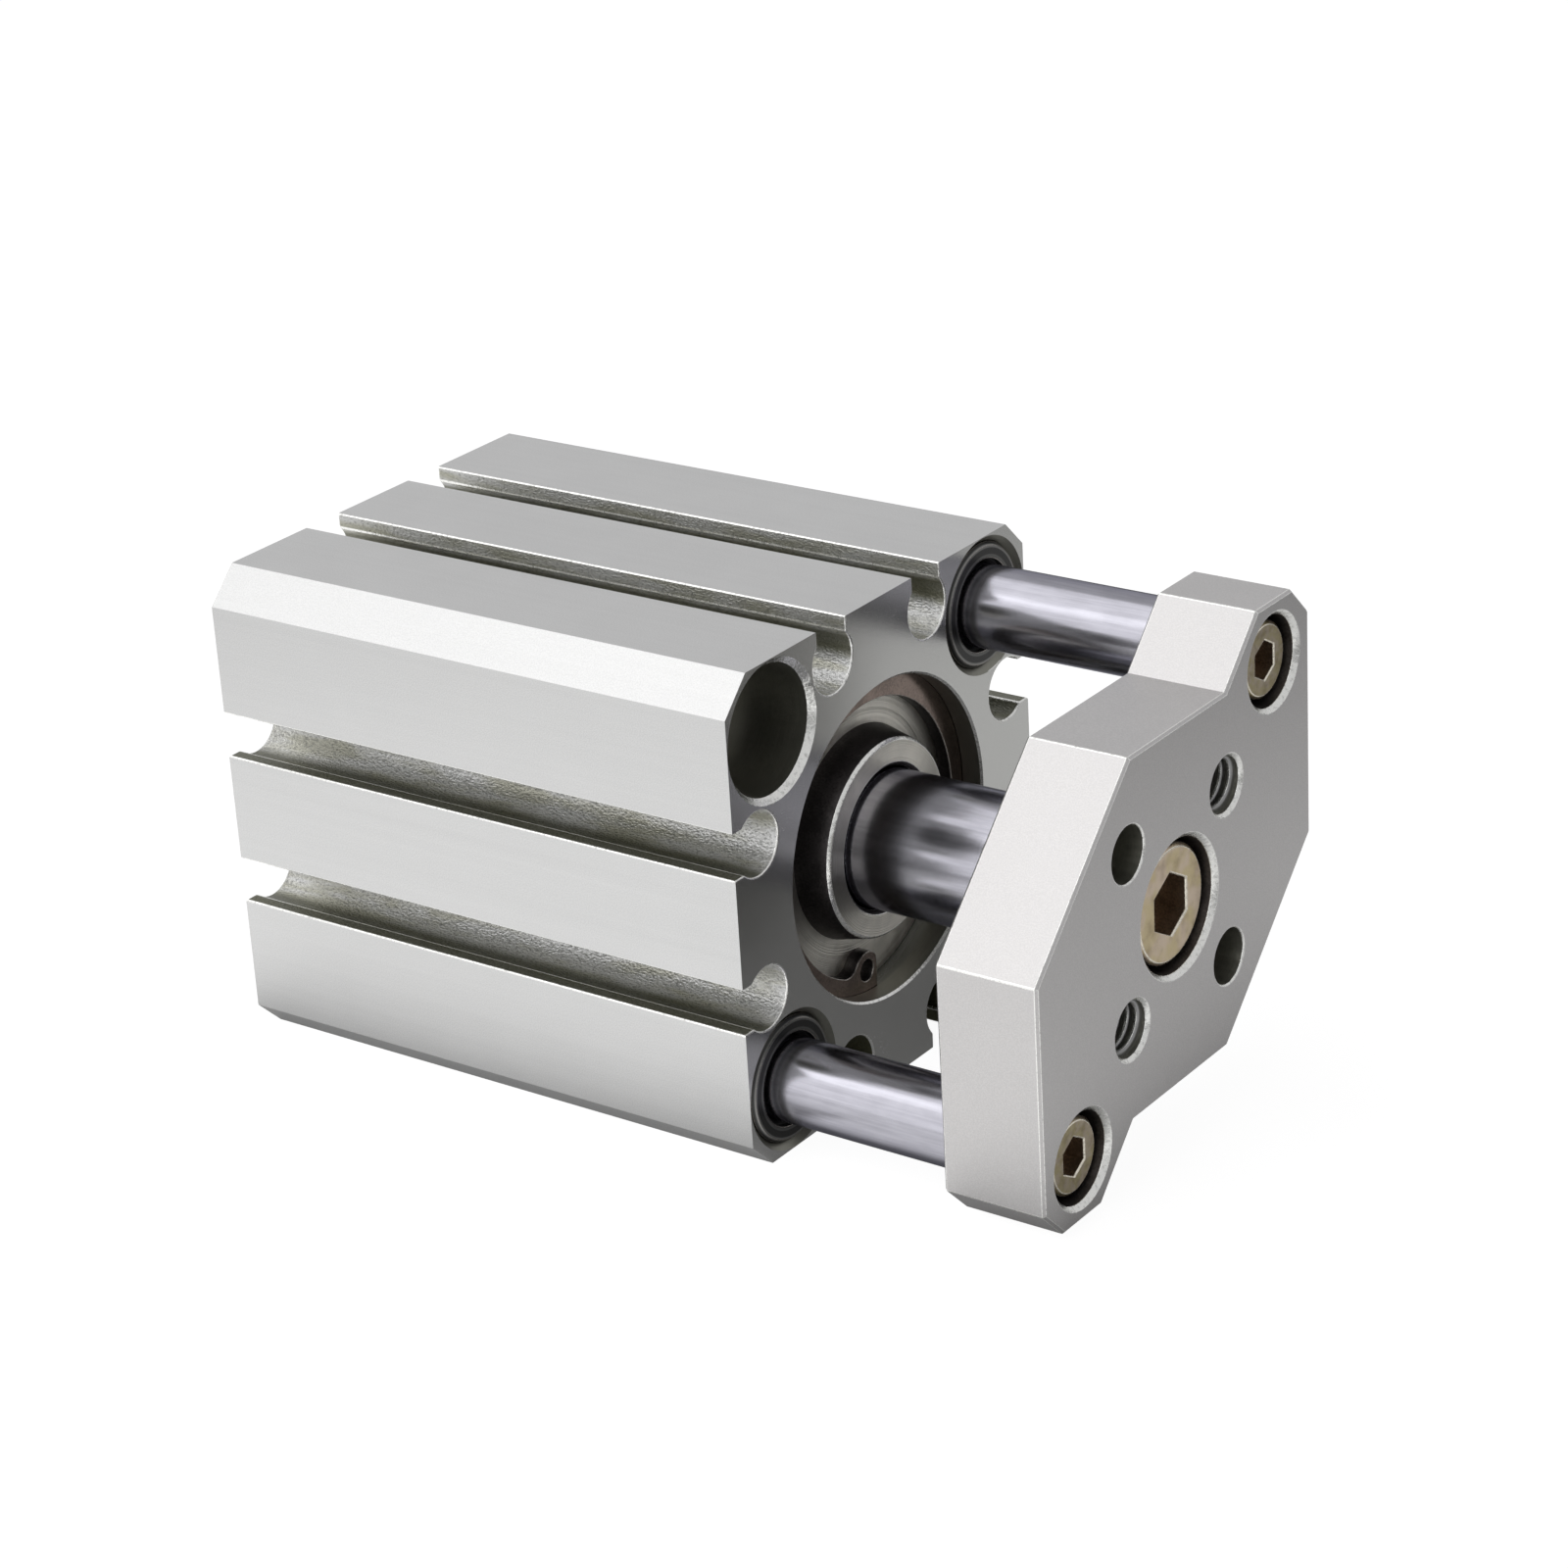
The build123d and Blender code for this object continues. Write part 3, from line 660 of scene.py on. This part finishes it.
def set_surround():
    world = bpy.data.worlds.new("surround")
    bpy.context.scene.world = world
    world.use_nodes = True
    world.node_tree.nodes.clear()
    room = Nodes(world.node_tree)
    mirrored = room.ray("Glossy") + room.ray("Transmission")
    shown = 0.08 + 0.92 * room.ray("Camera") + 0.60 * mirrored
    sockets = {"Color": (0.99, 0.99, 1, 1), "Strength": shown}
    light = room.node("ShaderNodeBackground", None, sockets)
    room.node("ShaderNodeOutputWorld", None, {"Surface": light})


def add_lamp(name, place, size, power):
    """A square soft box that faces the middle of the part."""
    data = bpy.data.lights.new(name, "AREA")
    data.shape = "SQUARE"
    data.size = size
    data.energy = power
    lamp = placed(name, data)
    lamp.location = place
    middle = (cad_box[0] + cad_box[1]) / 2
    lamp.rotation_mode = "QUATERNION"
    lamp.rotation_quaternion = (middle - Vector(place)).to_track_quat("-Z", "Y")


set_camera()
bpy.context.scene.view_settings.view_transform = "Standard"
set_floor()
set_surround()
add_lamp("left soft box", (-0.05, -0.42, 0.24), 0.6, 0.9)
add_lamp("rear soft box", (-0.22, -0.06, 0.38), 0.5, 0.65)

# Materials of the nodes that show their CAD shape, by the record's slots
SILVER = (0.695, 0.695, 0.69)
PLATE_SILVER = (0.65, 0.637, 0.632)
blasted = blasted_aluminium("blasted_aluminium", SILVER, 0.06)
blasted_plate = blasted_aluminium("blasted_plate", PLATE_SILVER, 0.0)
turned = turned_metal("turned_aluminium", (0.93, 0.90, 0.82), 0.25)
phosphated = dark_metal("phosphated_steel", (0.27, 0.21, 0.18), 0.13, 0.9, 0.003 * MM)
bush_alloy = sintered_bush("sintered_alloy", (0.055, 0.055, 0.053))
plated = passivated_steel("passivated_steel", (0.75, 0.62, 0.48), 1.3 * MM)
finish_by_slot = {
    "anodised_aluminium": blasted,
    "anodised_plate": blasted_plate,
    "turned_aluminium": turned,
    "hard_chrome": ground_chrome("ground_chrome", (0.42, 0.415, 0.46)),
    "spring_steel": phosphated,
    "bearing_alloy": bush_alloy,
    "seal_rubber": moulded_rubber("seal_rubber", (0.012, 0.012, 0.012), 0.45),
    "bumper_rubber": moulded_rubber("bumper_rubber", (0.30, 0.17, 0.05), 0.35),
    "magnet_compound": dark_metal("ferrite", (0.06, 0.06, 0.065), 0.5),
    "plated_steel": plated,
}
slot_of = {part["node"]: part["material_slot"] for part in frame["record"]["subparts"]}
for name, node in cad_nodes.items():
    node.data.materials.clear()
    node.data.materials.append(finish_by_slot[slot_of[name]])

# Materials of single faces
bright_edge = cut_edge("cut_edge", (0.97, 0.97, 0.94))
dark_edge = cut_edge("worn_phosphate", (0.40, 0.37, 0.34))
tan_edge = cut_edge("worn_plating", (0.97, 0.91, 0.78))
bored = bored_aluminium("bored_aluminium", (0.34, 0.335, 0.29))
thread_flank = bored_aluminium("thread_flank", (0.42, 0.42, 0.42))
slot_floor = slot_aluminium("slot_aluminium", SILVER)
milled = blasted_aluminium("milled_aluminium", (0.69, 0.69, 0.67), 0.0, 0.14)
shaded_plate = blasted_aluminium("shaded_plate", (0.44, 0.435, 0.42), 0.0)
# Painted shade: a dark metal put on walls and hollows that lie in shadow, in the collar, the
# retaining ring and the plate's counterbores
painted_dark_shade = dark_metal("painted_shade", (0.10, 0.09, 0.09), 0.30, 0.7)
socket_wall = dark_metal("socket_shade", (0.40, 0.31, 0.23), 0.25, 0.85)
worn_plating = passivated_steel("worn_passivated_steel", (0.47, 0.40, 0.30), 0.6 * MM)

body_faces = {
    "edge": bright_edge,
    "blasted": blasted,
    "bored": bored,
    "slot": slot_floor,
    "milled": milled,
}
plate_faces = {
    "edge": bright_edge,
    "blasted": blasted_plate,
    "bored": bored,
    "rear": shaded_plate,
    "counterbore": painted_dark_shade,
}
collar_faces = {"edge": bright_edge, "turned": turned, "dark": painted_dark_shade}
ring_faces = {"edge": dark_edge, "flat": phosphated, "wall": painted_dark_shade}
centre_screw_faces = {"edge": tan_edge, "plated": plated, "socket": socket_wall}
guide_screw_faces = {"edge": tan_edge, "plated": worn_plating, "socket": socket_wall}
bush_faces = {"edge": dark_edge, "alloy": bush_alloy}

softened(
    "cylinder_body", "body", body_faces, body_finish, 0.13 * MM, is_at_slot
)
softened("end_plate", "rod_unit", plate_faces, plate_finish, 0.09 * MM)
softened("collar", "body", collar_faces, collar_finish, 0.08 * MM)
softened("retaining_ring", "body", ring_faces, ring_finish, 0.08 * MM)
centre_screw_finish = screw_finish(centre_socket_reach)
softened(
    "centre_screw", "rod_unit", centre_screw_faces, centre_screw_finish, 0.16 * MM
)
guide_screw_finish = screw_finish(guide_socket_reach)
softened(
    "guide_screws", "rod_unit", guide_screw_faces, guide_screw_finish, 0.13 * MM
)
for side in ("upper", "lower"):
    bush = f"guide_bush_front_{side}"
    softened(bush, "body", bush_faces, bush_finish, 0.06 * MM)

thread_faces = [bright_edge, thread_flank]
for name, sign in {"upper": 1, "lower": -1}.items():
    place = (plate_high.x, sign * tool_offset, sign * tool_offset)
    depths = (0.0, plate_high.x - plate_low.x)
    add_thread(
        f"tool_thread_{name}", place, (-1, 0, 0), tool_radius, tool_pitch, depths,
        "rod_unit", thread_faces,
    )
for name in ("rear_port", "front_port"):
    place = (mounts[name]["pos_m"][0], body_high.y, 0)
    add_thread(
        f"{name}_thread", place, (0, -1, 0), port_radius, port_pitch, port_thread_depths,
        "body", thread_faces,
    )
